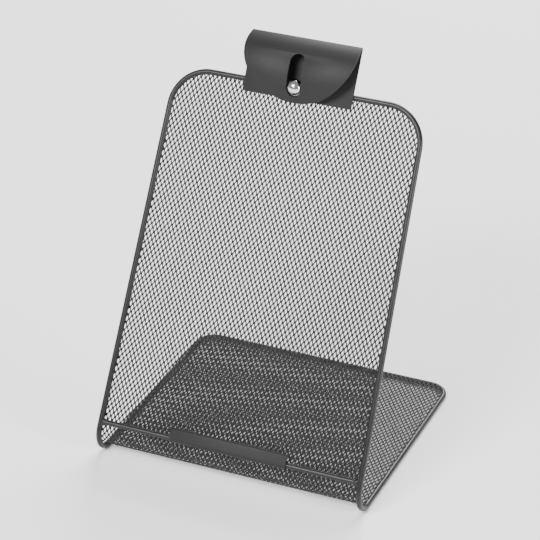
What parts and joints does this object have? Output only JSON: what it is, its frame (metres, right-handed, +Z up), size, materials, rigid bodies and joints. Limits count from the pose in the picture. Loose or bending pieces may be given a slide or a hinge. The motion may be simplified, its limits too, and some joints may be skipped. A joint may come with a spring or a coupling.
{
  "type": "desktop copy holder",
  "caption": "Leaning wire-and-mesh stand that holds a sheet of paper upright on a desk, with a ledge below and a gravity ball clip at the top.",
  "frame": {"origin": "bottom centre of the bounding box, on the desk surface", "axes": "+Z up, +X to the reader's right, +Y away from the reader"},
  "size_m": [0.2386, 0.2172, 0.3331],
  "materials": {
    "coated_rod": "semi-gloss charcoal powder coat",
    "coated_mesh": "semi-gloss charcoal powder coat",
    "coated_sheet": "semi-gloss charcoal powder coat",
    "polished_steel": "polished"
  },
  "bodies": {
    "stand": {"panel_wire": "coated_rod", "base_wire": "coated_rod", "front_bends": "coated_rod", "crossbar": "coated_rod", "crossbar_welds": "coated_rod", "panel_mesh": "coated_mesh", "base_mesh": "coated_mesh", "ledge_plate": "coated_sheet", "clip": "coated_sheet", "clip_welds": "coated_sheet"},
    "ball": {"ball": "polished_steel"}
  },
  "joints": [
    {"name": "ball_slide", "type": "slide", "parent": "stand", "child": "ball", "axis": [0, 0.4863, 0.8738], "range_m": [0, 0.02]}
  ]
}
